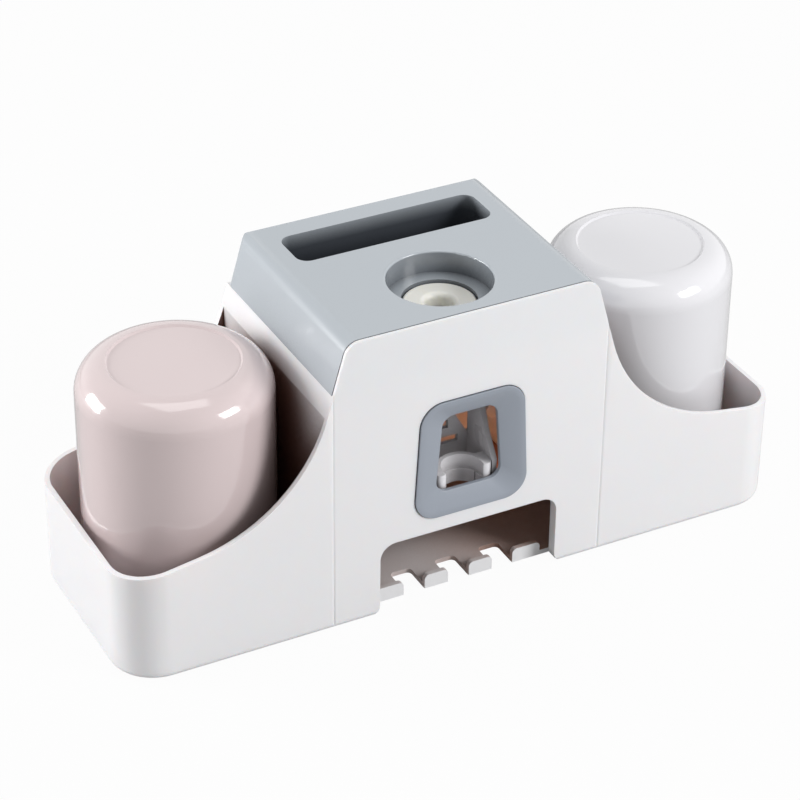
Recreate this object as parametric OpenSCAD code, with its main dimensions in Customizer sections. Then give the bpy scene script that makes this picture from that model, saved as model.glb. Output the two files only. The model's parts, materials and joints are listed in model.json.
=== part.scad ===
// Wall toothpaste dispenser with a brush rack and two tumblers in side trays.
// Millimetres. X runs along the wall, -Y faces the user, +Z is up.
// The origin is under the middle of the unit, at its lowest level.

/* [Housing] */
// Overall length from end wall to end wall
body_w = 284; // [270:1:310]
// Depth from the wall to the front face
body_d = 93; // [90:1:104]
// Height of the front face and of the top cover
body_h = 125; // [123:1:132]
// Wall thickness of the housing moulding
wall = 2; // [1.6:0.1:2.6]
// Thickness of the tray floors
floor_t = 2.5; // [2:0.1:3.5]
// Plan radius of the four outer corners
corner_r = 18; // [12:1:24]
// Rounding along the bottom edge
foot_r = 3; // [1.5:0.5:4]
// Width of the centre box between the two trays
centre_w = 120.7; // [116:0.1:124]
// Lean of the two flanks, from upright
flank_angle = 16; // [13:0.5:18]
// Radius of the concave sweep from flank to tray rim
swoop_r = 64; // [50:1:74]
// Height of the tray rim at the end walls
rim_h = 44.7; // [38:0.5:52]
// Fall of the tray rim towards the ends
rim_angle = 9; // [5:0.5:12]
// Rounding of the two top corners of the front face
crown_r = 6.5; // [3:0.5:9]
// Width of the fine line pressed into the front beside each wing
groove_w = 1.2; // [0.6:0.2:2]
// Depth of that line
groove_depth = 0.4; // [0.2:0.1:0.6]
// Thickness of the front face where it stands in front of the top cover
crest_t = 1.3; // [1:0.1:2]

/* [Brush bay] */
// Width of the opening in the front above the brush rack
bay_w = 76.6; // [72:0.2:80]
// Height of the strip left between that opening and the bezel
bay_bridge = 6.5; // [4:0.1:10]
// Radius of its upper corners
bay_r = 6.5; // [3:0.5:9]
// Radius of the lower inner corner of each leg
leg_r = 5; // [2:0.5:7]
// Depth of the rim that runs round the opening
bay_rim = 4.5; // [3:0.5:6]
// Number of toothbrush slots
slot_count = 3; // [2:1:3]
// Distance between the middles of two slots
slot_pitch = 19.4; // [17:0.2:21]
// Width of a slot
slot_w = 9; // [6.5:0.1:9.5]
// Length of a slot
slot_len = 12.5; // [10:0.5:17]
// Distance of the rack's front edge behind the front face
rack_set = 8; // [6:0.5:11]
// Thickness of the rack plate
rack_t = 2; // [1.6:0.1:2.6]
// Height of the upturned lips above the underside
lip_h = 6.1; // [4:0.1:9]

/* [Window] */
// Width of the bezel at its lower edge
bezel_w = 48.8; // [47:0.1:52]
// Width of the bezel at its upper edge
bezel_top_w = 43.3; // [42:0.1:46]
// Height of the bezel
bezel_h = 50.8; // [50:0.2:53]
// Distance from the top of the front face down to the bezel
bezel_drop = 35.5; // [34:0.1:37]
// Radius of the bezel's corners
bezel_r = 9.5; // [7:0.5:11]
// How far the bezel stands out of the front face
bezel_proud = 0.8; // [0.4:0.1:1.2]
// Width of the flat edge round the bezel
bezel_edge = 2.8; // [2:0.1:3.5]
// Width of the window at its lower edge
window_w = 28.2; // [27:0.1:30]
// Width of the window at its upper edge
window_top_w = 22.8; // [22:0.1:25]
// Height of the window
window_h = 33.3; // [31:0.1:34]
// Height of the window's lower edge above the bezel's lower edge
window_rise = 9.2; // [8.2:0.1:10.2]
// Radius of the window's corners
window_r = 4.8; // [3:0.1:6]

/* [Top cover] */
// Height of the top cover from its lower edge to its top
cover_h = 21; // [19:0.5:23]
// Wall thickness of the top cover
cover_t = 2; // [1.6:0.1:2.6]
// Radius of the two rear corners of the top cover
cover_corner_r = 4; // [2:0.5:6]
// Radius of the rear top edge of the top cover
cover_back_r = 2.5; // [2:0.5:4]
// Gap between the top cover and the front face
cover_gap = 0.5; // [0.3:0.1:0.8]
// Length of the storage slot
store_w = 83; // [70:1:84]
// Distance from the storage slot to the wall behind the unit
store_back = 11.4; // [10:0.2:16]
// Depth of the storage slot
store_h = 66; // [40:1:72]
// Distance from the front face to the storage slot
store_y = 60.6; // [60:0.2:62]
// Radius of the storage slot's corners
store_r = 5; // [3:0.5:8]
// Radius of the round recess for the toothpaste tube
dish_r = 20.3; // [19:0.1:21]
// Depth of the recess
dish_h = 9; // [8:0.5:9.5]
// Distance from the front face to the middle of the recess
dish_y = 27.8; // [26:0.2:29]

/* [Pump] */
// Radius of the soft inlet seal
seal_r = 14.2; // [13.6:0.1:14.8]
// Radius of the hole that grips the neck of the tube
tube_r = 5.5; // [4.5:0.1:6.5]
// Bore radius of the pump cylinder
bore_r = 6.5; // [5.5:0.1:6.8]
// Wall thickness of the pump cylinder
bore_wall = 2; // [1.6:0.1:2.2]
// Length of the push lever's rear arm, from its pin to the piston
arm_len = 25.4; // [25:0.1:26]
// Swing of the push lever when the brush is pressed home
lever_swing = 15; // [8:1:15]
// Radius of the lever's pin
pin_r = 1.5; // [1.2:0.1:2]
// Half the width of the push lever
lever_half = 14.2; // [13.6:0.1:14.4]
// Wire thickness of the return spring
spring_wire = 0.8; // [0.6:0.1:0.9]
// Turns of the return spring
spring_turns = 4; // [3:1:5]

/* [Tumblers] */
// Clearance between a tumbler and either end of its tray
cup_gap = 2.33; // [1:0.01:6]
// Height of a tumbler
cup_h = 103.6; // [90:0.5:115]
// Wall thickness of a tumbler
cup_wall = 2.2; // [1.6:0.1:3]
// Radius of the shoulder at the closed end
shoulder_r = 12; // [8:0.5:14]
// How far each tumbler stands inwards from the middle of its tray
cup_set = 0.3; // [0:0.1:0.9]

/* [Hidden] */
$fn = 96;

white = [0.9, 0.9, 0.91];
grey = [0.7, 0.74, 0.77];
dark_grey = [0.56, 0.6, 0.64];
pink = [0.87, 0.8, 0.8];
steel = [0.75, 0.76, 0.78];
silicone = [0.93, 0.93, 0.9];

fit_gap = 0.3;
run_gap = 0.05;
past = 1;

front_y = -(body_d - bezel_proud) / 2;
back_y = front_y + body_d;
half_w = body_w / 2;
tray_y = (front_y + back_y) / 2;

function unit(v) = v / norm(v);
function turn(a, i, k) = a[(i + k + len(a)) % len(a)];
function half_angle(p, i) =
    acos(unit(turn(p, i, -1) - p[i]) * unit(turn(p, i, 1) - p[i])) / 2;
function arc_centre(p, i, r) =
    p[i] + r / sin(half_angle(p, i)) * unit(unit(turn(p, i, -1) - p[i]) + unit(turn(p, i, 1) - p[i]));
function arc_ends(p, i, r) = let (reach = r / tan(half_angle(p, i)))
    [p[i] + reach * unit(turn(p, i, -1) - p[i]), p[i] + reach * unit(turn(p, i, 1) - p[i])];
function box_points(w, low, high) = [[-w / 2, low], [w / 2, low], [w / 2, high], [-w / 2, high]];

// A convex outline with every corner rounded by a true arc
module rounded(points, r) {
    polygon([for (i = [0 : len(points) - 1]) each arc_ends(points, i, r)]);
    for (i = [0 : len(points) - 1])
        translate(arc_centre(points, i, r)) circle(r);
}

// Draws a front view, given in X and Z, and extrudes it from y0 to y1
module along_y(y0, y1) {
    translate([0, y1, 0]) rotate([90, 0, 0]) linear_extrude(y1 - y0) children();
}

// Draws a side view, given in Y and Z, and extrudes it from x0 to x1
module along_x(x0, x1) {
    translate([x0, 0, 0]) rotate([90, 0, 90]) linear_extrude(x1 - x0) children();
}

module along_z(z0, z1) {
    translate([0, 0, z0]) linear_extrude(z1 - z0) children();
}

module both_sides() {
    children();
    mirror([1, 0, 0]) children();
}

// Outline of the front face: a leaning centre, concave sweeps and low wings
rim_end = [half_w, rim_h];
swoop_reach = swoop_r / tan((90 + flank_angle + rim_angle) / 2);
// The flank's line meets the rim's line in this sharp corner
meet_x = centre_w / 2 + swoop_reach * sin(flank_angle);
meet = [meet_x, rim_h + (half_w - meet_x) * tan(rim_angle)];
function flank_x(z) = meet_x - (z - meet[1]) * tan(flank_angle);
crown_half = flank_x(body_h);
swoop_points = [[crown_half, body_h], meet, rim_end];
swoop_centre = arc_centre(swoop_points, 1, swoop_r);
swoop_ends = arc_ends(swoop_points, 1, swoop_r);
knee = swoop_ends[0];
inner_half = centre_w / 2 - wall;
// Inner face of the centre box at a level, upright below the knee and leaning above it
function inner_x(z) = min(inner_half, flank_x(z) - wall / cos(flank_angle));
split_z = body_h - cover_h;
bezel_z = body_h - bezel_drop - bezel_h;
window_z = bezel_z + window_rise;
bay_h = bezel_z - bay_bridge;
dish_at = front_y + dish_y;
dish_floor = body_h - dish_h;
seal_hole_r = seal_r + fit_gap;
store_from = front_y + store_y;
store_d = body_d - store_y - store_back;
store_floor = body_h - store_h;
cover_front = front_y + crest_t + cover_gap;

module half_face() {
    polygon([[0, 0], [half_w, 0], rim_end, swoop_ends[1], meet, swoop_ends[0], [0, knee[1]]]);
    difference() {
        polygon([meet, swoop_ends[1], swoop_centre, swoop_ends[0]]);
        translate(swoop_centre) circle(swoop_r, $fn = 180);
    }
}

// The leaning centre, drawn w thinner on each side and t lower at the top
module crown_face(w, t) {
    top = body_h - t;
    low = -body_h;
    reach = w / cos(flank_angle);
    points = [[reach - flank_x(low), low], [flank_x(low) - reach, low],
        [flank_x(top) - reach, top], [reach - flank_x(top), top]];
    intersection() {
        union() {
            polygon([arc_ends(points, 2, crown_r)[0], arc_ends(points, 2, crown_r)[1],
                arc_ends(points, 3, crown_r)[0], arc_ends(points, 3, crown_r)[1], points[0], points[1]]);
            translate(arc_centre(points, 2, crown_r)) circle(crown_r);
            translate(arc_centre(points, 3, crown_r)) circle(crown_r);
        }
        translate([w - centre_w / 2, -past]) square([centre_w - 2 * w, body_h + 2 * past]);
    }
}

module face() {
    half_face();
    mirror([1, 0]) half_face();
    intersection() {
        crown_face(0, 0);
        translate([-half_w, 0]) square([body_w, body_h]);
    }
}

// A block with rounded corners in plan and a rounded bottom edge
module round_foot_block(h) {
    x = half_w - corner_r;
    y = body_d / 2 - corner_r;
    translate([0, tray_y, 0]) {
        along_y(-y, y) round_foot_section(half_w, h);
        along_x(-x, x) round_foot_section(body_d / 2, h);
        for (sx = [-1, 1], sy = [-1, 1])
            translate([sx * x, sy * y, 0]) rotate_extrude() round_foot_profile(h);
    }
}

module round_foot_section(half, h) {
    translate([-half, foot_r]) square([2 * half, h - foot_r]);
    translate([-half + foot_r, 0]) square([2 * (half - foot_r), h]);
    for (s = [-1, 1])
        translate([s * (half - foot_r), foot_r]) circle(foot_r);
}

module round_foot_profile(h) {
    intersection() {
        round_foot_section(corner_r, h);
        square([corner_r, h]);
    }
}

// Plan of one tray's inside
module tray_plan() {
    x0 = centre_w / 2;
    x1 = half_w - wall;
    y0 = front_y + wall;
    y1 = back_y - wall;
    r = corner_r - wall;
    translate([x0, y0]) square([x1 - x0 - r, y1 - y0]);
    translate([x0, y0 + r]) square([x1 - x0, y1 - y0 - 2 * r]);
    for (y = [y0 + r, y1 - r])
        translate([x1 - r, y]) circle(r);
}

module bay_outline(grow) {
    points = box_points(bay_w + 2 * grow, -3 * bay_r, bay_h + grow);
    rounded(points, bay_r + grow);
}

module bay_cut() {
    bay_outline(0);
    both_sides_2d() difference() {
        translate([bay_w / 2 - past, -past]) square([leg_r + past, leg_r + past]);
        translate([bay_w / 2 + leg_r, leg_r]) circle(leg_r);
    }
}

module both_sides_2d() {
    children();
    mirror([1, 0]) children();
}

function bezel_points(inset) = let (
    low = bezel_z + inset, high = bezel_z + bezel_h - inset,
    half_low = bezel_w / 2 - inset, half_high = bezel_top_w / 2 - inset)
    [[-half_low, low], [half_low, low], [half_high, high], [-half_high, high]];
function window_points(grow) = [
    [-window_w / 2 - grow, window_z - grow], [window_w / 2 + grow, window_z - grow],
    [window_top_w / 2 + grow, window_z + window_h + grow],
    [-window_top_w / 2 - grow, window_z + window_h + grow]];

seat_depth = 1;
hole_inset = 3;

module bezel_outline(inset) {
    rounded(bezel_points(inset), bezel_r - inset);
}

// Bosses inside the centre box
post_r = 3.6;
screw_r = 1.5;
screw_hole_r = 1.6;
head_r = 2.9;
head_h = 1.8;
head_sink = head_h + 0.2;
head_hole_r = head_r + 0.2;
// Overlap that joins a boss or rib to the wall it stands on
bite = 0.5;
shelf_depth = 21;
shelf_z = dish_floor - shelf_depth;
shelf_t = 3;
ledge_w = 8;
ledge_h = 4;
tub_gap = 0.5;
frame_half = inner_x(shelf_z + shelf_t) - fit_gap;
shelf_back = store_from - cover_t - tub_gap;
shelf_front = front_y + wall + fit_gap;
head_edge = 0.7;
shelf_screw_front = 6;
shelf_screw_back = 5;
ledge_screw_x = frame_half - head_r - head_edge;
shelf_screws = [for (sx = [-1, 1], y = [shelf_front + shelf_screw_front, shelf_back - shelf_screw_back])
    [sx * ledge_screw_x, y]];
rack_pad_h = 4;
rack_post_h = 10;
rack_screw_len = 9;
rack_screw_front = 16;
rack_screw_back = 30;
rack_screw_x = inner_half - post_r;
rack_screws_at = [for (sx = [-1, 1], y = [front_y + rack_screw_front, back_y - rack_screw_back])
    [sx * rack_screw_x, y]];
back_t = wall;
back_pad_t = 4;
back_screw_len = 10;
back_screw_low = 22;
back_screw_mid = 54;
back_screw_drop = 14;
back_screws_at = [for (sx = [-1, 1], z = [back_screw_low, back_screw_mid, split_z - back_screw_drop])
    [sx * (inner_x(z + post_r) - post_r - fit_gap), z]];
post_len = 10;
rib_t = 2;

module housing() {
    color(white) difference() {
        union() {
            difference() {
                intersection() {
                    round_foot_block(body_h + past);
                    along_y(front_y - past, back_y + past) face();
                }
                both_sides() along_z(floor_t, body_h + past) tray_plan();
                along_y(front_y + wall, back_y + past) crown_face(wall, -2 * past - 2);
                along_y(front_y + crest_t, back_y + past)
                    translate([-half_w, split_z]) square([body_w, body_h]);
            }
            bay_rim_ring();
            both_sides() shelf_ledge();
            rack_posts();
            back_posts();
        }
        along_y(front_y - past, front_y + wall + bay_rim) bay_cut();
        along_y(front_y - past, front_y + seat_depth) bezel_outline(-fit_gap);
        along_y(front_y - past, front_y + wall + past) bezel_outline(hole_inset - fit_gap);
        both_sides() wing_groove();
        for (p = shelf_screws)
            translate([p[0], p[1], shelf_z - ledge_h - past]) cylinder(h = ledge_h + 2 * past, r = screw_hole_r);
        for (p = rack_screws_at)
            translate([p[0], p[1], 0]) cylinder(h = head_sink + rack_screw_len + past, r = screw_hole_r);
        for (p = back_screws_at)
            along_y(back_y - head_sink - back_screw_len, back_y) translate(p) circle(screw_hole_r);
    }
}

module bay_rim_ring() {
    along_y(front_y + wall - bite, front_y + bay_rim) intersection() {
        difference() {
            bay_outline(wall);
            bay_outline(0);
        }
        translate([-bay_w, leg_r]) square([2 * bay_w, bay_h + wall]);
    }
}

module shelf_ledge() {
    from = inner_x(shelf_z) - ledge_w;
    translate([from, front_y + wall - bite, shelf_z - ledge_h])
        cube([inner_x(shelf_z - ledge_h) + bite - from, shelf_back - front_y - wall + bite, ledge_h]);
}

module rack_posts() {
    for (p = rack_screws_at)
        translate([p[0], p[1], rack_pad_h]) {
            cylinder(h = rack_post_h, r = post_r);
            translate([p[0] > 0 ? 0 : -post_r - bite, -rib_t / 2, 0]) cube([post_r + bite, rib_t, rack_post_h]);
        }
}

module back_posts() {
    for (p = back_screws_at) {
        along_y(back_y - back_pad_t - post_len, back_y - back_pad_t) {
            translate(p) circle(post_r);
            reach = inner_x(p[1] - rib_t / 2) - abs(p[0]) + bite;
            translate([p[0] > 0 ? p[0] : p[0] - reach, p[1] - rib_t / 2]) square([reach, rib_t]);
        }
    }
}

module wing_groove() {
    groove_x = flank_x(split_z);
    along_z(-past, body_h) translate([groove_x, front_y])
        polygon([[-groove_w / 2, -groove_w / 4], [groove_w / 2, -groove_w / 4], [groove_w / 2, 0],
            [0, groove_depth], [-groove_w / 2, 0]]);
}

keyhole_x = 35;
keyhole_drop = 20;
keyhole_z = split_z - keyhole_drop;
keyhole_r = 4.5;
keyhole_slot = 4.5;
keyhole_rise = 8;

module back_cover() {
    low = tub_gap;
    color(white) difference() {
        union() {
            along_y(back_y - back_t, back_y) intersection() {
                crown_face(wall + fit_gap, 0);
                translate([-half_w, low]) square([body_w, split_z - fit_gap - low]);
            }
            for (p = back_screws_at)
                along_y(back_y - back_pad_t, back_y - back_t + bite) translate(p) circle(post_r - fit_gap);
        }
        for (p = back_screws_at) {
            along_y(back_y - back_pad_t - past, back_y + past) translate(p) circle(screw_hole_r);
            along_y(back_y - head_sink, back_y + past) translate(p) circle(head_hole_r);
        }
        for (sx = [-1, 1])
            along_y(back_y - back_t - past, back_y + past) translate([sx * keyhole_x, keyhole_z]) {
                circle(keyhole_r);
                translate([-keyhole_slot / 2, 0]) square([keyhole_slot, keyhole_rise]);
                translate([0, keyhole_rise]) circle(keyhole_slot / 2);
            }
    }
}

// A pan head screw that stands with the underside of its head at the origin, pointing down
module screw(len) {
    cylinder(h = head_h, r = head_r);
    translate([0, 0, -len]) cylinder(h = len + bite, r = screw_r);
}

module back_screws() {
    color(steel) for (p = back_screws_at)
        translate([p[0], back_y - head_sink, p[1]]) rotate([-90, 0, 0]) screw(back_screw_len);
}

rack_front = front_y + rack_set;
rack_lip_t = 2;

module rack_screws() {
    color(steel) for (p = rack_screws_at)
        translate([p[0], p[1], head_sink]) mirror([0, 0, 1]) screw(rack_screw_len);
}

module brush_rack() {
    back = back_y - back_t - fit_gap;
    side = inner_half - fit_gap;
    color(white) difference() {
        union() {
            along_z(0, rack_t) difference() {
                union() {
                    translate([-side, rack_front]) square([2 * side, back - rack_front]);
                    both_sides_2d() translate([bay_w / 2 + wall + fit_gap, front_y + foot_r])
                        square([side - bay_w / 2 - wall - fit_gap, rack_set]);
                }
                slot_row() slot_plan();
            }
            rack_lips();
            for (p = rack_screws_at)
                translate([p[0], p[1], 0]) cylinder(h = rack_pad_h, r = post_r - fit_gap);
        }
        for (p = rack_screws_at)
            translate([p[0], p[1], -past]) {
                cylinder(h = rack_pad_h + 2 * past, r = screw_hole_r);
                cylinder(h = head_sink + past, r = head_hole_r);
            }
    }
}

module slot_row() {
    for (i = [0 : slot_count - 1])
        translate([(i - (slot_count - 1) / 2) * slot_pitch, rack_front]) children();
}

module slot_plan() {
    r = 2;
    half = slot_w / 2;
    ease = 1.5;
    translate([-half, -past]) square([slot_w, slot_len - r + past]);
    translate([-half + r, 0]) square([slot_w - 2 * r, slot_len]);
    for (s = [-1, 1])
        translate([s * (half - r), slot_len - r]) circle(r);
    both_sides_2d() difference() {
        translate([half - 0.1, -past]) square([ease + 0.1, ease + past]);
        translate([half + ease, ease]) circle(ease);
    }
}

module rack_lips() {
    gap = slot_w / 2 + 0.1;
    side = bay_w / 2 - 2;
    first = -(slot_count - 1) / 2 * slot_pitch;
    edges = [-side, for (i = [0 : slot_count - 1]) each [first + i * slot_pitch - gap, first + i * slot_pitch + gap],
        side];
    r = 2;
    for (i = [0 : slot_count]) {
        x0 = edges[2 * i];
        x1 = edges[2 * i + 1];
        along_y(rack_front, rack_front + rack_lip_t) {
            translate([x0, 0]) square([x1 - x0, lip_h - r]);
            translate([x0 + r, 0]) square([x1 - x0 - 2 * r, lip_h]);
            for (x = [x0 + r, x1 - r])
                translate([x, lip_h - r]) circle(r);
        }
    }
}

plug_end = 3.8;
window_y = 2;
collar_t = 1.5;
hook_x = 12;
hook_w = 8;
hook_reach = 0.8;

// The bezel is a dished frame with a short collar and four snap hooks behind the front wall
module window_bezel() {
    rim_y = front_y - bezel_proud;
    color(dark_grey) difference() {
        union() {
            along_y(rim_y, front_y + seat_depth) bezel_outline(0);
            along_y(front_y + seat_depth - 0.1, front_y + plug_end) bezel_outline(hole_inset);
            for (s = [-1, 1])
                translate([s * hook_x, 0, 0]) bezel_hooks();
        }
        hull() {
            along_y(rim_y - 0.1, rim_y) rounded(bezel_points(bezel_edge), bezel_r - bezel_edge, $fn = 32);
            along_y(rim_y, front_y + window_y) rounded(window_points(0), window_r, $fn = 32);
        }
        along_y(front_y, front_y + plug_end + past) rounded(window_points(0), window_r);
        difference() {
            along_y(front_y + window_y + 1, front_y + plug_end + past)
                bezel_outline(hole_inset + collar_t);
            along_y(front_y + window_y, front_y + plug_end + 2 * past)
                rounded(window_points(collar_t), window_r + collar_t);
        }
    }
}

module bezel_hooks() {
    clear = wall + 0.1;
    for (out = [-1, 1]) {
        z = out < 0 ? bezel_z + hole_inset : bezel_z + bezel_h - hole_inset - collar_t;
        for (rise = [0, out * hook_reach])
            translate([-hook_w / 2, front_y + clear, z + rise]) cube([hook_w, plug_end - clear, collar_t]);
    }
}

module store_plan(grow) {
    translate([0, store_from + store_d / 2])
        rounded([[-store_w / 2 - grow, -store_d / 2 - grow], [store_w / 2 + grow, -store_d / 2 - grow],
            [store_w / 2 + grow, store_d / 2 + grow], [-store_w / 2 - grow, store_d / 2 + grow]],
            store_r + grow);
}

// Side view of the cover, with its rear top edge rounded
module cover_side(t) {
    r = cover_back_r - t / 2;
    low = split_z - cover_h / 2;
    long = back_y - cover_front - 2 * t;
    high = body_h - low - t;
    translate([cover_front + t, low]) square([long, high - r]);
    translate([cover_front + t, low]) square([long - r, high]);
    translate([back_y - t - r, body_h - t - r]) circle(r);
}

module cover_section(w, t, z0) {
    intersection() {
        crown_face(w, t);
        translate([-half_w, z0]) square([body_w, body_h]);
    }
}

module top_cover() {
    color(grey) difference() {
        union() {
            difference() {
                intersection() {
                    along_y(cover_front, back_y) cover_section(0, 0, split_z);
                    along_x(-half_w, half_w) cover_side(0);
                }
                intersection() {
                    along_y(cover_front, back_y) cover_section(cover_t, cover_t, split_z - past);
                    along_x(-half_w, half_w) cover_side(cover_t);
                }
            }
            cover_skirt();
            along_z(store_floor - cover_t, body_h - bite) store_plan(cover_t);
            translate([0, dish_at, dish_floor - cover_t])
                cylinder(h = dish_h + cover_t - bite, r = dish_r + cover_t);
        }
        along_z(store_floor, body_h + past) store_plan(0);
        translate([0, dish_at, 0]) dish_hollow();
        both_sides() cover_corner_cut();
    }
}

// What is cut away to round one rear corner; it leans with the flank
module cover_corner_cut() {
    r = cover_corner_r;
    translate([crown_half, back_y, body_h]) rotate([0, -flank_angle, 0]) mirror([0, 0, 1])
        translate([0, 0, -cover_h]) linear_extrude(3 * cover_h) difference() {
            translate([-r, -r]) square([r + past, r + past]);
            translate([-r, -r]) circle(r);
        }
}

dish_edge = 0.8;

// The round recess, its upper edge eased by a small radius, with a hole for the seal in its floor
module dish_hollow() {
    rotate_extrude() {
        translate([0, dish_floor]) square([dish_r, dish_h + past]);
        translate([0, dish_floor - cover_t - past]) square([seal_hole_r, cover_t + 2 * past]);
        difference() {
            translate([0, body_h - dish_edge]) square([dish_r + dish_edge, dish_edge + past]);
            translate([dish_r + dish_edge, body_h - dish_edge]) circle(dish_edge);
        }
    }
}

// Short upright lip under each flank of the cover that drops inside the housing's wall
module cover_skirt() {
    lip = 1.5;
    drop = 4;
    rise = 3;
    from_front = 6;
    from_back = 8;
    side = inner_x(split_z);
    long = back_y - cover_front - from_front - from_back;
    both_sides() translate([side - fit_gap - lip, cover_front + from_front, 0]) {
        translate([0, 0, split_z - drop]) cube([lip, long, drop + rise]);
        translate([0, 0, split_z]) cube([lip + fit_gap + bite, long, rise]);
    }
}

inlet_r = 8;
inlet_wall = 1.8;
seal_sink = 1;
seal_t = 2.2;
seal_plug = 3.1;
seal_top = dish_floor - seal_sink;
inlet_top = seal_top - seal_t;
block_z = shelf_z + shelf_t;
pump_travel = arm_len * sin(lever_swing);
block_spare = 1.93;
block_h = pump_travel + block_spare;
block_top = block_z + block_h;
gallery_r = 1.8;
gallery_drop = 2.3;
gallery_z = block_top - gallery_drop;
pin_set = 21.1;
pin_drop = 11;
pin_y = front_y + pin_set;
pin_z = shelf_z - pin_drop;
cyl_y = pin_y + arm_len;
cyl_r = bore_r + bore_wall;
cyl_drop = 7;
cyl_low = shelf_z - cyl_drop;
cap_t = 2;
cap_rise = 0.5;
cap_z = block_top + cap_rise;
nozzle_set = 10.6;
nozzle_y = front_y + nozzle_set;
nozzle_r = 5.5;
nozzle_tip_r = 2.4;
nozzle_drop = 12.4;
nozzle_tip = shelf_z - nozzle_drop;
spigot_r = 3.8;
block_half = 8;
block_front = 5;
base_half = 17.5;
base_front = 4.5;
base_back = 12.5;
base_t = 2;
pump_screw_x = 14.5;
pump_screw_front = 8;
pump_screw_back = 9;
pump_screws_at = [for (sx = [-1, 1], y = [nozzle_y + pump_screw_front, dish_at + pump_screw_back])
    [sx * pump_screw_x, y]];
valve_r = 3;
ear_gap = 0.6;
ear_t = 3;
ear_r = 5;

module pump_frame() {
    ear_x = lever_half + ear_gap;
    color(white) difference() {
        union() {
            translate([-frame_half, shelf_front, shelf_z])
                cube([2 * frame_half, shelf_back - shelf_front, shelf_t]);
            both_sides() along_x(ear_x, ear_x + ear_t) lever_ear();
        }
        translate([0, cyl_y, shelf_z - past]) cylinder(h = shelf_t + 2 * past, r = cyl_r + fit_gap);
        translate([0, nozzle_y, shelf_z - past]) cylinder(h = shelf_t + 2 * past, r = nozzle_r + fit_gap);
        along_x(-frame_half, frame_half) translate([pin_y, pin_z]) circle(pin_r + run_gap);
        for (p = concat(shelf_screws, pump_screws_at))
            translate([p[0], p[1], shelf_z - past]) cylinder(h = shelf_t + 2 * past, r = screw_hole_r);
    }
}

module lever_ear() {
    translate([pin_y, pin_z]) circle(ear_r);
    translate([pin_y - ear_r, pin_z]) square([2 * ear_r, pin_drop + bite]);
}

module frame_screws() {
    color(steel) for (p = shelf_screws)
        translate([p[0], p[1], block_z]) screw(shelf_t + ledge_h - bite);
}

module pump_screws() {
    color(steel) for (p = pump_screws_at)
        translate([p[0], p[1], block_z + base_t]) screw(base_t + shelf_t);
}

module pump_body() {
    color([0.85, 0.87, 0.88]) difference() {
        union() {
            translate([-block_half, nozzle_y - block_front, block_z])
                cube([2 * block_half, cyl_y - nozzle_y + block_front, block_h]);
            translate([-base_half, nozzle_y + base_front, block_z])
                cube([2 * base_half, dish_at + base_back - nozzle_y - base_front, base_t]);
            translate([0, dish_at, block_z]) cylinder(h = inlet_top - block_z, r = inlet_r + inlet_wall);
            translate([0, cyl_y, cyl_low]) cylinder(h = cap_z - cyl_low, r = cyl_r);
            translate([0, nozzle_y, cyl_low]) cylinder(h = block_z - cyl_low + bite, r = spigot_r);
        }
        translate([0, dish_at, block_top]) cylinder(h = inlet_top, r = inlet_r);
        translate([0, dish_at, block_z + base_t]) cylinder(h = block_h, r = valve_r);
        translate([0, cyl_y, cyl_low - past]) cylinder(h = cap_z, r = bore_r);
        along_y(nozzle_y, cyl_y) translate([0, gallery_z]) circle(gallery_r);
        translate([0, nozzle_y, cyl_low - past]) cylinder(h = gallery_z - cyl_low + past, r = gallery_r);
        for (p = pump_screws_at)
            translate([p[0], p[1], block_z - past]) cylinder(h = base_t + 2 * past, r = screw_hole_r);
    }
}

module cylinder_cap() {
    plug = 1.5;
    color([0.8, 0.82, 0.84]) difference() {
        union() {
            translate([0, cyl_y, cap_z]) cylinder(h = cap_t, r = cyl_r);
            translate([0, cyl_y, cap_z - plug]) cylinder(h = plug + bite, r = bore_r - run_gap);
        }
        translate([0, cyl_y, cap_z - plug - past]) cylinder(h = plug + past, r = bore_r - ring_cut);
    }
}

module inlet_seal() {
    edge = seal_t / 2;
    plug_r = inlet_r - run_gap;
    lip_t = 1.6;
    lip_low = 1.5;
    color(silicone) translate([0, dish_at, inlet_top]) rotate_extrude() {
        translate([tube_r + seal_t, 0]) square([seal_r - tube_r - seal_t, seal_t - edge]);
        translate([tube_r + seal_t, 0]) square([seal_r - tube_r - seal_t - edge, seal_t]);
        translate([seal_r - edge, seal_t - edge]) circle(edge, $fn = 32);
        intersection() {
            translate([tube_r + seal_t, 0]) circle(seal_t);
            translate([tube_r, 0]) square([seal_t + bite, seal_t]);
        }
        translate([tube_r, -seal_plug]) square([plug_r - tube_r, seal_plug]);
        translate([plug_r - lip_t, -seal_plug - lip_low]) square([lip_t, lip_low + bite]);
    }
}

module inlet_valve() {
    slit = 0.3;
    flange_r = 4.6;
    flange_t = 1.2;
    lip_t = 1;
    low = block_h - base_t - 2;
    color(silicone) translate([0, dish_at, block_top]) rotate_extrude() polygon([
        [slit, -low], [slit + lip_t, -low], [valve_r - 2 * run_gap, 0], [flange_r, 0], [flange_r, flange_t],
        [slit + lip_t, flange_t], [slit, -low + lip_t]]);
}

module outlet_nozzle() {
    top = shelf_z + run_gap + bite;
    neck = 3;
    flare = 2;
    skin = 1.2;
    slit_w = 3.2;
    slit_t = 0.4;
    color(silicone) translate([0, nozzle_y, 0]) difference() {
        rotate_extrude() polygon([[0, nozzle_tip], [nozzle_tip_r, nozzle_tip], [nozzle_tip_r + 1, nozzle_tip + neck],
            [nozzle_r, nozzle_tip + neck + flare], [nozzle_r, top], [0, top]]);
        translate([0, 0, cyl_low]) cylinder(h = top, r = spigot_r + run_gap);
        translate([0, 0, nozzle_tip + skin]) cylinder(h = top, r = gallery_r);
        translate([-slit_w / 2, -slit_t / 2, nozzle_tip - past]) cube([slit_w, slit_t, skin + 2 * past]);
    }
}

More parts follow.
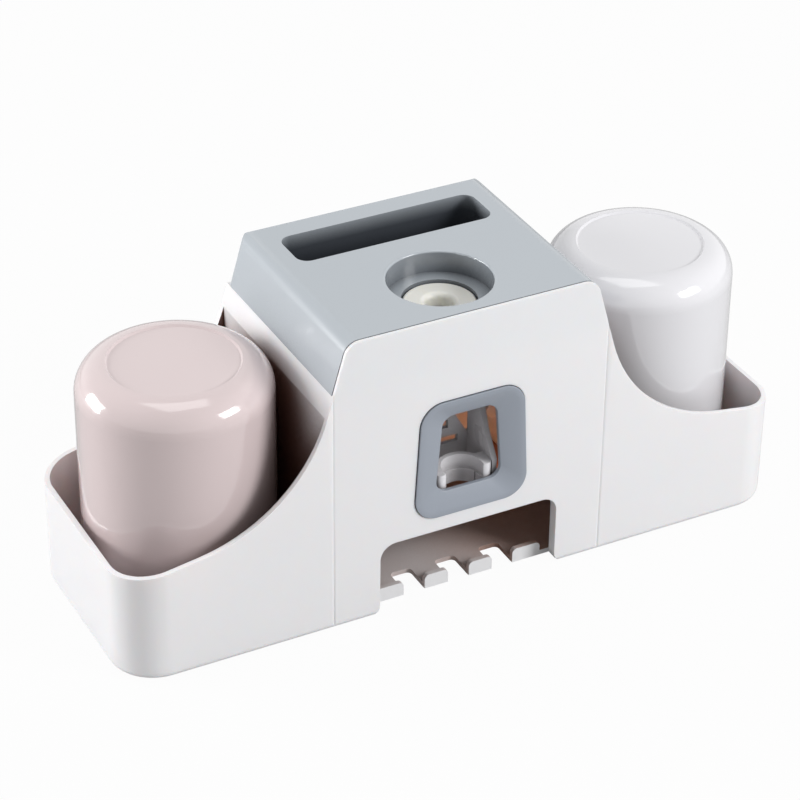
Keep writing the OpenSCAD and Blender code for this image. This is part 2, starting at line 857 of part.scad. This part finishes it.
nose_r = 2.5;
piston_low = pin_z + nose_r + fit_gap;
piston_h = 9.2;
piston_top = piston_low + piston_h;
ring_drop = 4;
ring_z = piston_top - ring_drop;
ring_h = 2;
ring_cut = 1.4;
seat_cut = 1.5;
seat_w = 1.9;

module piston() {
    color(white) translate([0, cyl_y, 0]) difference() {
        translate([0, 0, piston_low]) cylinder(h = piston_h, r = bore_r - 2 * run_gap);
        difference() {
            translate([0, 0, ring_z]) cylinder(h = ring_h, r = bore_r + past);
            translate([0, 0, ring_z - past]) cylinder(h = ring_h + 2 * past, r = bore_r - ring_cut);
        }
        translate([0, 0, piston_top - seat_cut]) difference() {
            cylinder(h = seat_cut + past, r = spring_r + seat_w / 2);
            translate([0, 0, -past]) cylinder(h = seat_cut + 3 * past, r = spring_r - seat_w / 2);
        }
    }
}

module piston_ring() {
    color([0.2, 0.2, 0.22]) translate([0, cyl_y, 0]) difference() {
        translate([0, 0, ring_z + run_gap]) cylinder(h = ring_h - 2 * run_gap, r = bore_r - run_gap / 2);
        translate([0, 0, ring_z - past]) cylinder(h = ring_h + 2 * past, r = bore_r - ring_cut + run_gap / 2);
    }
}

// The return spring is one unbroken round wire, its end turns resting on piston and cap
spring_inset = 2.2;
spring_r = bore_r - spring_inset;
spring_low = piston_top - seat_cut + spring_wire / 2 + run_gap;
spring_high = cap_z - spring_wire / 2 - run_gap;
spring_rings = 14;
spring_sides = 6;
function spring_angle(i) = i * 360 / spring_rings;
function spring_level(i) = let (
    turns = i / spring_rings, free = spring_turns - 1.5,
    share = min(max((turns - 0.75) / free, 0), 1))
    spring_low + (spring_high - spring_low) * share;
function spring_point(i, k) = let (
    a = spring_angle(i), b = k * 360 / spring_sides, r = spring_r + spring_wire / 2 * cos(b))
    [r * cos(a), r * sin(a), spring_level(i) + spring_wire / 2 * sin(b)];

module return_spring() {
    rings = spring_turns * spring_rings;
    points = [for (i = [0 : rings], k = [0 : spring_sides - 1]) spring_point(i, k)];
    last = rings * spring_sides;
    sides = [for (i = [0 : rings - 1], k = [0 : spring_sides - 1]) let (
        a = i * spring_sides + k, b = i * spring_sides + (k + 1) % spring_sides) each
        [[a, b, a + spring_sides], [b, b + spring_sides, a + spring_sides]]];
    ends = [for (k = [1 : spring_sides - 2]) each [[0, k + 1, k], [last, last + k, last + k + 1]]];
    color(steel) translate([0, cyl_y, 0]) polyhedron(points, concat(sides, ends));
}

// Push lever: hub and rear arm above, two side plates and the brush cradle below
cradle_set = 4.5;
cradle_depth = 23.1;
cradle_drop = 6.4;
cradle_h = 11.7;
step_h = 5.7;
throat_r = 7.2;
throat_top_r = 8.1;
throat_depth = 3;
throat_t = 1.7;
prong_half = 12;
hub_r = 4.2;
plate_t = 2.2;
web_t = 2;
cradle_low = window_z - cradle_drop;
cradle_step = cradle_low + step_h;
cradle_top = cradle_low + cradle_h;
cradle_front = front_y + cradle_set;
cradle_back = cradle_front + cradle_depth;
web_front = cradle_back - web_t;
arm_z = cradle_low + 13.2;

module push_lever() {
    color(grey) difference() {
        union() {
            along_x(-lever_half, lever_half) translate([pin_y, pin_z]) circle(hub_r);
            rear_arm();
            along_z(cradle_low, cradle_top) cradle_plan();
            for (x = [-lever_half, lever_half - plate_t])
                along_x(x, x + plate_t) side_plate();
            lever_web();
        }
        along_z(cradle_low - past, cradle_step) throat_plan(throat_r);
        along_z(cradle_step, cradle_top + past) throat_plan(throat_top_r);
        along_x(-2 * lever_half, 2 * lever_half) translate([pin_y, pin_z]) circle(pin_r + run_gap);
    }
}

// Side view of one arm, its front edge bent where it meets the cradle
module side_plate() {
    front_drop = 13;
    knee_rise = 9.9;
    knee_set = 7.8;
    top_set = 11.3;
    polygon([[cradle_front + 1, cradle_low], [web_front + bite, cradle_low], [web_front + bite, arm_z],
        [web_front, arm_z], [web_front, pin_z - front_drop], [pin_y + hub_r, pin_z], [pin_y - hub_r, pin_z],
        [cradle_front + top_set, pin_z - front_drop], [cradle_front + knee_set, cradle_top + knee_rise],
        [cradle_front + 1, cradle_top]]);
}

// Plate behind the two arms, with a notch between them, a slot low down and a window above it
module lever_web() {
    neck_rise = 8.3;
    web_rise = 12.3;
    neck = 7.2;
    top = 5;
    slot_half = 8;
    slot_rise = 10.3;
    slot_h = 3.2;
    hole_half = 3.6;
    hole_rise = 17.4;
    hole_h = 3.6;
    along_y(web_front, cradle_back) difference() {
        polygon([[-lever_half, cradle_low], [lever_half, cradle_low], [lever_half, arm_z],
            [lever_half - plate_t, arm_z], [neck, arm_z + neck_rise], [top, arm_z + web_rise],
            [-top, arm_z + web_rise], [-neck, arm_z + neck_rise], [plate_t - lever_half, arm_z],
            [-lever_half, arm_z]]);
        translate([-slot_half, cradle_low + slot_rise]) square([2 * slot_half, slot_h]);
        translate([-hole_half, cradle_low + hole_rise]) square([2 * hole_half, hole_h]);
    }
}

// A horseshoe in plan, open to the front, with rounded prongs and a thin wall round the throat
module cradle_plan() {
    tip = (prong_half - throat_r) / 2;
    root = cradle_front + tip + throat_depth;
    for (s = [-1, 1])
        translate([s * (prong_half - tip), cradle_front + tip]) circle(tip);
    both_sides_2d() translate([throat_r, cradle_front + tip]) square([prong_half - throat_r, throat_depth + past]);
    difference() {
        union() {
            translate([-lever_half, root]) square([2 * lever_half, throat_depth]);
            translate([0, cradle_front + throat_depth]) circle(throat_top_r + throat_t);
        }
        translate([-lever_half, root - 2 * lever_half]) square([2 * lever_half, 2 * lever_half]);
    }
}

module throat_plan(r) {
    translate([0, cradle_front + throat_depth]) circle(r);
    translate([-r, cradle_front - past]) square([2 * r, throat_depth + past]);
}

arm_half = 4;
arm_dip = 3.2;
arm_deep = 6.4;

// The arm dips below the pump cylinder and ends in a round nose that pushes the piston up
module rear_arm() {
    along_x(-arm_half, arm_half) {
        polygon([[pin_y, pin_z - hub_r], [cyl_y + nose_r, pin_z - arm_deep], [cyl_y + nose_r, pin_z],
            [cyl_y - nose_r, pin_z], [cyl_y - nose_r, pin_z - arm_dip],
            [cyl_y - nose_r - throat_depth, pin_z - arm_dip], [pin_y + hub_r, pin_z], [pin_y, pin_z]]);
        translate([cyl_y, pin_z]) circle(nose_r);
    }
}

pin_head_t = 1;
clip_t = 0.8;
clip_gap = 0.2;
clip_x = lever_half + ear_gap + ear_t + clip_gap;
pin_reach = clip_x + clip_t + clip_gap;

module lever_pin() {
    color(steel) {
        along_x(-pin_reach, pin_reach) translate([pin_y, pin_z]) circle(pin_r);
        along_x(-pin_reach, -pin_reach + pin_head_t) translate([pin_y, pin_z]) circle(pin_r + pin_head_t);
    }
}

module pin_clip() {
    ring_w = 1.6;
    mouth_w = 1.8;
    color(steel) along_x(clip_x, clip_x + clip_t) translate([pin_y, pin_z]) difference() {
        circle(pin_r + ring_w);
        circle(pin_r);
        translate([-mouth_w / 2, -2 * pin_r - ring_w]) square([mouth_w, 2 * pin_r + ring_w]);
    }
}

tray_long = half_w - wall - centre_w / 2;
tray_wide = body_d - 2 * wall;
cup_r = min(tray_long, tray_wide) / 2 - cup_gap;
cup_x = half_w - wall - tray_long / 2 - cup_set;
cup_y = tray_y + 0.5;
mouth_grow = 0.3;
ring_r = cup_r - mouth_grow - shoulder_r + 0.1;

// Tumbler standing on its mouth, with the closed end up
module tumbler() {
    lip = 0.8;
    ring_deep = 0.7;
    top = floor_t + cup_h;
    inner_top = top - cup_wall - ring_deep;
    body = cup_r - mouth_grow;
    round_in = shoulder_r - cup_wall;
    rotate_extrude($fn = 128) difference() {
        union() {
            polygon([[0, floor_t + lip], [cup_r, floor_t + lip], [body, top - shoulder_r], [0, top - shoulder_r]]);
            translate([0, floor_t]) square([cup_r - lip, 2 * lip]);
            translate([cup_r - lip, floor_t + lip]) circle(lip, $fn = 32);
            intersection() {
                translate([body - shoulder_r, top - shoulder_r]) circle(shoulder_r);
                translate([body - shoulder_r, top - shoulder_r]) square(shoulder_r);
            }
            translate([0, top - shoulder_r - bite]) square([body - shoulder_r, shoulder_r + bite]);
        }
        polygon([[-past, floor_t - past], [cup_r - cup_wall, floor_t - past], [body - cup_wall, inner_top - round_in],
            [-past, inner_top - round_in]]);
        intersection() {
            translate([body - cup_wall - round_in, inner_top - round_in]) circle(round_in);
            translate([body - cup_wall - round_in, inner_top - round_in - bite]) square(round_in + bite);
        }
        translate([-past, inner_top - round_in - bite])
            square([body - cup_wall - round_in + past, round_in + bite]);
        polygon([[-past, top - ring_deep], [ring_r - ring_deep, top - ring_deep], [ring_r, top], [ring_r, top + past],
            [-past, top + past]]);
    }
}

module pink_tumbler() {
    color(pink) translate([-cup_x, cup_y, 0]) tumbler();
}

module white_tumbler() {
    color(white) translate([cup_x, cup_y, 0]) tumbler();
}

housing();
back_cover();
back_screws();
top_cover();
window_bezel();
brush_rack();
rack_screws();
pump_frame();
frame_screws();
pump_body();
pump_screws();
cylinder_cap();
inlet_seal();
inlet_valve();
outlet_nozzle();
piston();
piston_ring();
return_spring();
push_lever();
lever_pin();
pin_clip();
pink_tumbler();
white_tumbler();
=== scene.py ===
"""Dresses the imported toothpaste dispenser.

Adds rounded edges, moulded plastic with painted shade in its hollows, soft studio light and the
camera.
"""

import json
import math

import bmesh
import bpy
from mathutils import Matrix, Vector

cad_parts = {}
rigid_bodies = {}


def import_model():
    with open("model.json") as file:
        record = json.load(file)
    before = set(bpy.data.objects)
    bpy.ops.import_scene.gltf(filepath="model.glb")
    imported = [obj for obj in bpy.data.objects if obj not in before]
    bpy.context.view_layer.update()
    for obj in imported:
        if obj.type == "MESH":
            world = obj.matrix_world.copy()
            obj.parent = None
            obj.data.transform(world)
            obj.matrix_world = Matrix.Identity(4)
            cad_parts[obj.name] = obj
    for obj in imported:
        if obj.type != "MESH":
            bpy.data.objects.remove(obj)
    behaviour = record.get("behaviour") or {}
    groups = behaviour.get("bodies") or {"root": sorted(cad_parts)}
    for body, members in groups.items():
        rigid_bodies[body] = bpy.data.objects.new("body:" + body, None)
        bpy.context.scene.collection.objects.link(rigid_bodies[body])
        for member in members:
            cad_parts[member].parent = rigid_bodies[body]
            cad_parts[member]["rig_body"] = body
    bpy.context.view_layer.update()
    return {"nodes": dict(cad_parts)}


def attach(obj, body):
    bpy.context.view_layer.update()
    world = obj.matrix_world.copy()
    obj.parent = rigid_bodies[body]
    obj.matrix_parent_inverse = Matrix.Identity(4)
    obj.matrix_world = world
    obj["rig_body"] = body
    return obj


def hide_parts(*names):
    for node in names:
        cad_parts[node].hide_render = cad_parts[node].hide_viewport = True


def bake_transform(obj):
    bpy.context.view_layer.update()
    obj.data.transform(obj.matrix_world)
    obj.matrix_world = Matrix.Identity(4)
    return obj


MM = 0.001

# Camera: direction, distance and lens fitted to the photograph's edges
AZIMUTH = math.radians(-27.65)
ELEVATION = math.radians(32.40)
ROLL = math.radians(0.64)
DISTANCE = 1096.45 * MM
OFFSET_RIGHT = -26.61 * MM
OFFSET_UP = 72.46 * MM
AIM = Vector((0, -46.5, 1.4)) * MM
FOCAL_PIXELS = 2829.0
IMAGE_PIXELS = 800
SENSOR_MM = 36.0
CLIP_NEAR = 0.05
CLIP_FAR = 20

# Light: strength of the surroundings on the part, and as seen by the camera or in gloss
AMBIENT_STRENGTH = 0.44
SEEN_STRENGTH = 1.0

# Lamps: place, aim, width and depth in metres, watts and colour.
# The glow stands for the warm light that shows behind the lever.
WHITE_LIGHT = (1, 1, 1)
SUBJECT = (0, 0, 0.06)
LAMPS = {
    "key": ((0.91, -1.08, 0.81), SUBJECT, (0.6, 0.5), 16.8, WHITE_LIGHT),
    "side": ((-1.18, 0.77, 0.36), SUBJECT, (0.6, 0.6), 16.4, WHITE_LIGHT),
    "top": ((0, 0.1, 1.5), SUBJECT, (0.8, 0.8), 3.5, WHITE_LIGHT),
    "glow": ((0.045, 0.02, 0.004), (0.047, 0.045, 0.016), (0.01, 0.006), 0.0018, (1, 0.34, 0.09)),
}

# Floor: a little below the part, and nearly white to the camera
FLOOR_HALF = 6.0
FLOOR_DROP = 0.0002
FLOOR_COLOR = (0.53, 0.53, 0.53)
FLOOR_ROUGHNESS = 0.9
FLOOR_SEEN_WHITE = 0.96

# Outline of the trays' inner walls from above: centre of a rounded corner, and its radius
TRAY_MIDDLE_Y = 0.0004
TRAY_CORNER_X = 0.124
TRAY_CORNER_Y = 0.0285
TRAY_CORNER_RADIUS = 0.0169

# The centre box's flank: its place up to the foot, and how far it leans in above
FLANK_X = 0.0595
FLANK_FOOT_Z = 0.0665
FLANK_LEAN = 0.2867

# Where the painted shade inside the trays ends upwards, and where it weakens outwards
SHADE_UP_TO_Z = (0.094, 0.102)
WEAKER_FROM_X = (0.1, 0.13)
OUTER_SHARE = 0.15

# The storage slot: half its width, front and back wall, and the height over which painted shade
# darkens it
SLOT_HALF_X = 0.0418
SLOT_Y = (0.0138, 0.0358)
SLOT_Z = (0.1185, 0.1248)
SLOT_SHADE_SHARE = 0.9

# Painted shade on the rack behind its lips, weaker towards the left
LIPS_Y = -0.038
RACK_X = (-0.01, 0.03)
RACK_LEFT_SHADE_SHARE = 0.45

# Moulded surfaces: scales of clouds, gloss and orange peel, and the peel's depth in metres
CLOUD_SCALE = 18
GLOSS_SCALE = 60
PEEL_SCALE = 900
PEEL_STRENGTH = 0.5
PEEL_DEPTH = 0.000012
FINE_PEEL_DEPTH = 0.000006
OCCLUSION_SAMPLES = 8

LOOK_OF_NODE = {
    "housing": "white",
    "back_cover": "inner",
    "back_screws": "steel",
    "top_cover": "grey",
    "window_bezel": "bezel",
    "brush_rack": "rack",
    "rack_screws": "steel",
    "pump_frame": "inner",
    "frame_screws": "steel",
    "pump_body": "pump",
    "pump_screws": "steel",
    "cylinder_cap": "pump",
    "inlet_seal": "silicone",
    "inlet_valve": "silicone",
    "outlet_nozzle": "silicone",
    "piston": "inner",
    "piston_ring": "rubber",
    "return_spring": "steel",
    "push_lever": "lever",
    "lever_pin": "steel",
    "pin_clip": "steel",
    "pink_tumbler": "pink",
    "white_tumbler": "cup",
}

# Width of the small edge rounding that the real mouldings have, in metres
EDGE_OF_NODE = {
    "housing": 0.0005,
    "back_cover": 0.0004,
    "top_cover": 0.0008,
    "window_bezel": 0.0004,
    "brush_rack": 0.0005,
    "push_lever": 0.0006,
    "inlet_seal": 0.0003,
}
EDGE_SEGMENTS = 2
MERGE_DISTANCE = 0.000004
FLAT_ANGLE = math.radians(0.6)
ROUNDED_ANGLE = math.radians(38)
SMOOTH_ANGLE = math.radians(32)


def add_camera():
    back = Vector((
        math.sin(AZIMUTH) * math.cos(ELEVATION),
        -math.cos(AZIMUTH) * math.cos(ELEVATION),
        math.sin(ELEVATION),
    ))
    level = Vector((math.cos(AZIMUTH), math.sin(AZIMUTH), 0))
    upright = back.cross(level)
    right = math.cos(ROLL) * level + math.sin(ROLL) * upright
    up = math.cos(ROLL) * upright - math.sin(ROLL) * level
    eye = AIM + OFFSET_RIGHT * right + OFFSET_UP * up + DISTANCE * back
    data = bpy.data.cameras.new("camera")
    data.sensor_width = SENSOR_MM
    data.lens = FOCAL_PIXELS / IMAGE_PIXELS * SENSOR_MM
    data.clip_start = CLIP_NEAR
    data.clip_end = CLIP_FAR
    camera = bpy.data.objects.new("camera", data)
    turn = Matrix((right, up, back)).transposed().to_4x4()
    camera.matrix_world = Matrix.Translation(eye) @ turn
    bpy.context.scene.collection.objects.link(camera)
    bpy.context.scene.camera = camera


class Look:
    """A material on the Principled shader, with a few helpers for its node tree"""

    def __init__(self, name, color, roughness, coat=(0.0, 0.1)):
        self.color = color
        self.material = bpy.data.materials.new(name)
        self.material.diffuse_color = (*color, 1)
        self.material.use_nodes = True
        self.tree = self.material.node_tree
        self.shader = self.tree.nodes["Principled BSDF"]
        self.shader.inputs["Base Color"].default_value = (*color, 1)
        self.shader.inputs["Roughness"].default_value = roughness
        self.shader.inputs["Coat Weight"].default_value = coat[0]
        self.shader.inputs["Coat Roughness"].default_value = coat[1]

    def add(self, kind, **values):
        node = self.tree.nodes.new(kind)
        for key, value in values.items():
            setattr(node, key, value)
        return node

    def link(self, a, b):
        self.tree.links.new(a, b)

    def place(self):
        if not hasattr(self, "_place"):
            self._place = self.add("ShaderNodeTexCoord").outputs["Object"]
        return self._place

    def along(self, axis):
        if not hasattr(self, "_axes"):
            split = self.add("ShaderNodeSeparateXYZ")
            self.link(self.place(), split.inputs["Vector"])
            self._axes = split.outputs
        return self._axes[axis]

    def noise(self, scale, detail):
        node = self.add("ShaderNodeTexNoise")
        node.inputs["Scale"].default_value = scale
        node.inputs["Detail"].default_value = detail
        self.link(self.place(), node.inputs["Vector"])
        return node.outputs["Fac"]

    def spread(self, value, low, high, start=0.3, end=0.7):
        """Maps the range from start to end onto low to high"""
        node = self.add("ShaderNodeMapRange")
        node.inputs["From Min"].default_value = start
        node.inputs["From Max"].default_value = end
        node.inputs["To Min"].default_value = low
        node.inputs["To Max"].default_value = high
        self.link(value, node.inputs["Value"])
        return node.outputs["Result"]

    def math(self, operation, a, b=None):
        node = self.add("ShaderNodeMath", operation=operation)
        for slot, value in zip(node.inputs, (a, b)):
            if isinstance(value, (int, float)):
                slot.default_value = value
            elif value is not None:
                self.link(value, slot)
        return node.outputs["Value"]

    def product(self, a, b):
        return self.math("MULTIPLY", a, b)

    def past(self, value, limit):
        """How far a value lies beyond a limit, or 0"""
        return self.math("MAXIMUM", self.math("SUBTRACT", value, limit), 0)

    def between(self, value, low, high):
        above = self.math("GREATER_THAN", value, low)
        return self.product(above, self.math("LESS_THAN", value, high))

    def mix(self, factor, a, b):
        node = self.add("ShaderNodeMix", data_type="RGBA")
        for name, value in (("A", a), ("B", b)):
            target = [i for i in node.inputs if i.name == name and i.type == "RGBA"][0]
            if isinstance(value, tuple):
                target.default_value = (*value, 1)
            else:
                self.link(value, target)
        self.link(factor, node.inputs["Factor"])
        return [o for o in node.outputs if o.type == "RGBA"][0]

    def moulded(self, tint, rough_low, rough_high, peel_depth=PEEL_DEPTH):
        """The slight cloudiness, uneven gloss and fine orange peel of a moulded surface"""
        inputs = self.shader.inputs
        shade = tuple(c * t for c, t in zip(self.color, tint))
        self.link(self.mix(self.noise(CLOUD_SCALE, 2), self.color, shade), inputs["Base Color"])
        gloss = self.spread(self.noise(GLOSS_SCALE, 3), rough_low, rough_high)
        self.link(gloss, inputs["Roughness"])
        bump = self.add("ShaderNodeBump")
        bump.inputs["Strength"].default_value = PEEL_STRENGTH
        bump.inputs["Distance"].default_value = peel_depth
        self.link(self.noise(PEEL_SCALE, 2), bump.inputs["Height"])
        self.link(bump.outputs["Normal"], inputs["Normal"])
        return self

    def shaded(self, dark, share):
        """Paints shade: lays a darker colour over the base colour, as far as the share says"""
        base = self.shader.inputs["Base Color"].links[0].from_socket
        self.link(self.mix(share, base, dark), self.shader.inputs["Base Color"])

    def paint_hollow_shade(self, dark, reach, low, high, mask=None):
        """Paints shade into the colour in hollows: fully below the low share of open sky, not above
        the high
        """
        node = self.add("ShaderNodeAmbientOcclusion", samples=OCCLUSION_SAMPLES)
        node.inputs["Distance"].default_value = reach
        share = self.spread(node.outputs["AO"], 1, 0, low, high)
        if mask is not None:
            share = self.product(share, mask)
        self.shaded(dark, share)

    def soft(self, weight, radius, scale):
        """Lets light in below the surface"""
        self.shader.inputs["Subsurface Weight"].default_value = weight
        self.shader.inputs["Subsurface Radius"].default_value = radius
        self.shader.inputs["Subsurface Scale"].default_value = scale


def tray_shade_mask(look):
    """Marks the walls that look into the trays for painted warm shade, not the rims or the outside,
    and less far out
    """
    out = look.math("ABSOLUTE", look.along("X"))
    deep = look.math("ABSOLUTE", look.math("SUBTRACT", look.along("Y"), TRAY_MIDDLE_Y))
    past_x = look.past(out, TRAY_CORNER_X)
    past_y = look.past(deep, TRAY_CORNER_Y)
    square = look.math("ADD", look.product(past_x, past_x), look.product(past_y, past_y))
    within = look.math("LESS_THAN", square, TRAY_CORNER_RADIUS * TRAY_CORNER_RADIUS)
    lean = look.product(look.past(look.along("Z"), FLANK_FOOT_Z), FLANK_LEAN)
    beside = look.math("GREATER_THAN", look.math("ADD", out, lean), FLANK_X)
    low = look.spread(look.along("Z"), 1, 0, *SHADE_UP_TO_Z)
    near = look.spread(out, 1, OUTER_SHARE, *WEAKER_FROM_X)
    return look.product(look.product(within, low), look.product(beside, near))


def slot_shade_mask(look):
    """Painted shade that rises from the mouth of the storage slot down its walls"""
    across = look.math("LESS_THAN", look.math("ABSOLUTE", look.along("X")), SLOT_HALF_X)
    deep = look.between(look.along("Y"), *SLOT_Y)
    down = look.spread(look.along("Z"), SLOT_SHADE_SHARE, 0, *SLOT_Z)
    return look.product(look.product(across, deep), down)


def rack_shade_mask(look):
    """Marks the rack behind its lips for painted shade, more towards the right"""
    rightward = look.spread(look.along("X"), RACK_LEFT_SHADE_SHARE, 1, *RACK_X)
    return look.product(rightward, look.math("GREATER_THAN", look.along("Y"), LIPS_Y))


def make_looks():
    # The tint of a moulding's clouds
    faint = (0.985, 0.985, 0.99)
    light = (0.96, 0.96, 0.97)
    white = Look("white_plastic", (0.845, 0.832, 0.842), 0.32)
    rack = Look("rack_plastic", (0.83, 0.83, 0.84), 0.32)
    inner = Look("inner_plastic", (0.80, 0.80, 0.81), 0.4)
    grey = Look("grey_plastic", (0.445, 0.483, 0.518), 0.22, coat=(0.3, 0.08))
    bezel = Look("bezel_plastic", (0.31, 0.34, 0.39), 0.25)
    lever = Look("lever_plastic", (0.82, 0.81, 0.83), 0.3)
    pink = Look("pink_plastic", (0.69, 0.58, 0.58), 0.12, coat=(0.9, 0.1))
    cup = Look("cup_plastic", (0.75, 0.745, 0.77), 0.12, coat=(0.9, 0.1))
    pump = Look("pump_plastic", (0.7, 0.72, 0.74), 0.4)
    silicone = Look("silicone", (0.88, 0.87, 0.82), 0.3)
    rubber = Look("rubber", (0.02, 0.02, 0.022), 0.6)
    steel = Look("steel", (0.55, 0.56, 0.58), 0.3)
    steel.shader.inputs["Metallic"].default_value = 1
    looks = {
        "white": white.moulded(faint, 0.28, 0.36),
        "rack": rack.moulded(faint, 0.28, 0.36),
        "inner": inner.moulded(faint, 0.36, 0.44),
        "grey": grey.moulded(faint, 0.2, 0.24, FINE_PEEL_DEPTH),
        "bezel": bezel.moulded(light, 0.3, 0.4),
        "lever": lever.moulded(light, 0.26, 0.34),
        "pink": pink.moulded((0.98, 0.975, 0.975), 0.1, 0.14, FINE_PEEL_DEPTH),
        "cup": cup.moulded(faint, 0.1, 0.14, FINE_PEEL_DEPTH),
        "pump": pump.moulded((0.97, 0.97, 0.97), 0.35, 0.45),
        "silicone": silicone.moulded((0.97, 0.97, 0.95), 0.25, 0.35),
        "rubber": rubber.moulded((0.9, 0.9, 0.9), 0.55, 0.7),
        "steel": steel.moulded((0.92, 0.92, 0.93), 0.22, 0.38),
    }
    silicone.soft(0.3, (1.0, 0.9, 0.7), 0.002)
    white.soft(0.3, (1.0, 0.65, 0.5), 0.0035)
    # Painted warm brown shade in the hollows of the trays
    white.paint_hollow_shade((0.11, 0.045, 0.03), reach=0.06, low=0.25, high=0.75, mask=tray_shade_mask(white))
    # Painted brown shade on the rack behind its lips
    rack.paint_hollow_shade((0.36, 0.18, 0.12), reach=0.09, low=0.3, high=0.9, mask=rack_shade_mask(rack))
    # Painted shade in the hollows of the grey cover, such as its slot and recess
    grey.paint_hollow_shade((0.03, 0.035, 0.045), reach=0.05, low=0.15, high=0.78)
    # Painted dark shade down the walls of the storage slot
    grey.shaded((0.04, 0.045, 0.055), slot_shade_mask(grey))
    # Painted shade in the hollows of the lever
    lever.paint_hollow_shade((0.24, 0.22, 0.225), reach=0.03, low=0.1, high=0.6)
    # Painted shade in a thin line along the bezel's seams and creases
    bezel.paint_hollow_shade((0.04, 0.045, 0.06), reach=0.0015, low=0.25, high=0.85)
    return looks


def paint(obj, look):
    obj.data.materials.clear()
    obj.data.materials.append(look.material)


def round_edges(node, width):
    """Replaces a CAD node by a copy of its mesh with small roundings on its sharp edges"""
    source = frame["nodes"][node]
    piece = bpy.data.objects.new(node + "_finish", source.data.copy())
    bpy.context.scene.collection.objects.link(piece)
    mesh = bmesh.new()
    mesh.from_mesh(piece.data)
    bmesh.ops.remove_doubles(mesh, verts=mesh.verts, dist=MERGE_DISTANCE)
    bmesh.ops.dissolve_limit(
        mesh, angle_limit=FLAT_ANGLE, verts=mesh.verts, edges=mesh.edges, delimit={"MATERIAL"}
    )
    bmesh.ops.connect_verts_concave(mesh, faces=[f for f in mesh.faces if len(f.verts) > 4])
    sharp = [e for e in mesh.edges if e.is_manifold and e.calc_face_angle(0) > ROUNDED_ANGLE]
    bmesh.ops.bevel(
        mesh,
        geom=sharp,
        offset=width,
        offset_type="OFFSET",
        segments=EDGE_SEGMENTS,
        profile=0.5,
        affect="EDGES",
        clamp_overlap=True,
        miter_outer="ARC",
    )
    for face in mesh.faces:
        face.smooth = True
    for edge in mesh.edges:
        edge.smooth = not edge.is_manifold or edge.calc_face_angle(0) < SMOOTH_ANGLE
    mesh.to_mesh(piece.data)
    mesh.free()
    body = source["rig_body"]
    weigh = piece.modifiers.new("weigh", "WEIGHTED_NORMAL")
    weigh.keep_sharp = True
    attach(piece, body)
    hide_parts(node)
    return piece


def add_spring():
    """The return spring between the piston and the cap, as a still copy of its mesh that does not
    shorten as the piston rises
    """
    source = frame["nodes"]["return_spring"]
    piece = bpy.data.objects.new("return_spring_finish", source.data.copy())
    bpy.context.scene.collection.objects.link(piece)
    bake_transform(piece)
    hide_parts("return_spring")
    return piece


def area_lamp(name, place, aim, size, power, color):
    data = bpy.data.lights.new(name, "AREA")
    data.shape = "RECTANGLE"
    data.size, data.size_y = size
    data.energy = power
    data.color = color
    lamp = bpy.data.objects.new(name, data)
    lamp.location = place
    lamp.rotation_euler = (Vector(aim) - Vector(place)).to_track_quat("-Z", "Y").to_euler()
    bpy.context.scene.collection.objects.link(lamp)


def larger(tree, a, b):
    node = tree.nodes.new("ShaderNodeMath")
    node.operation = "MAXIMUM"
    tree.links.new(a, node.inputs[0])
    tree.links.new(b, node.inputs[1])
    return node.outputs[0]


def add_light():
    world = bpy.data.worlds.new("world")
    bpy.context.scene.world = world
    world.use_nodes = True
    tree = world.node_tree
    background = tree.nodes["Background"]
    background.inputs["Color"].default_value = (*WHITE_LIGHT, 1)
    ray = tree.nodes.new("ShaderNodeLightPath").outputs
    through = larger(tree, ray["Is Glossy Ray"], ray["Is Transmission Ray"])
    seen = larger(tree, ray["Is Camera Ray"], through)
    strength = tree.nodes.new("ShaderNodeMapRange")
    strength.inputs["To Min"].default_value = AMBIENT_STRENGTH
    strength.inputs["To Max"].default_value = SEEN_STRENGTH
    tree.links.new(seen, strength.inputs["Value"])
    tree.links.new(strength.outputs["Result"], background.inputs["Strength"])
    for name, lamp in LAMPS.items():
        area_lamp(name, *lamp)


def add_floor():
    mesh = bpy.data.meshes.new("floor")
    corners = [(x * FLOOR_HALF, y * FLOOR_HALF, 0) for x, y in ((-1, -1), (1, -1), (1, 1), (-1, 1))]
    mesh.from_pydata(corners, [], [(0, 1, 2, 3)])
    floor = bpy.data.objects.new("floor", mesh)
    floor.location.z = -FLOOR_DROP
    bpy.context.scene.collection.objects.link(floor)
    material = bpy.data.materials.new("floor")
    material.use_nodes = True
    tree = material.node_tree
    shader = tree.nodes["Principled BSDF"]
    shader.inputs["Base Color"].default_value = (*FLOOR_COLOR, 1)
    shader.inputs["Roughness"].default_value = FLOOR_ROUGHNESS
    glow = tree.nodes.new("ShaderNodeEmission")
    path = tree.nodes.new("ShaderNodeLightPath")
    share = tree.nodes.new("ShaderNodeMath")
    share.operation = "MULTIPLY"
    share.inputs[1].default_value = FLOOR_SEEN_WHITE
    tree.links.new(path.outputs["Is Camera Ray"], share.inputs[0])
    mix = tree.nodes.new("ShaderNodeMixShader")
    tree.links.new(share.outputs[0], mix.inputs["Fac"])
    tree.links.new(shader.outputs["BSDF"], mix.inputs[1])
    tree.links.new(glow.outputs["Emission"], mix.inputs[2])
    tree.links.new(mix.outputs["Shader"], tree.nodes["Material Output"].inputs["Surface"])
    floor.data.materials.append(material)


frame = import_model()
add_camera()
looks = make_looks()
for name, look in LOOK_OF_NODE.items():
    paint(frame["nodes"][name], looks[look])
for name, width in EDGE_OF_NODE.items():
    paint(round_edges(name, width), looks[LOOK_OF_NODE[name]])
paint(add_spring(), looks["steel"])
add_light()
add_floor()
bpy.context.scene.view_settings.view_transform = "Standard"
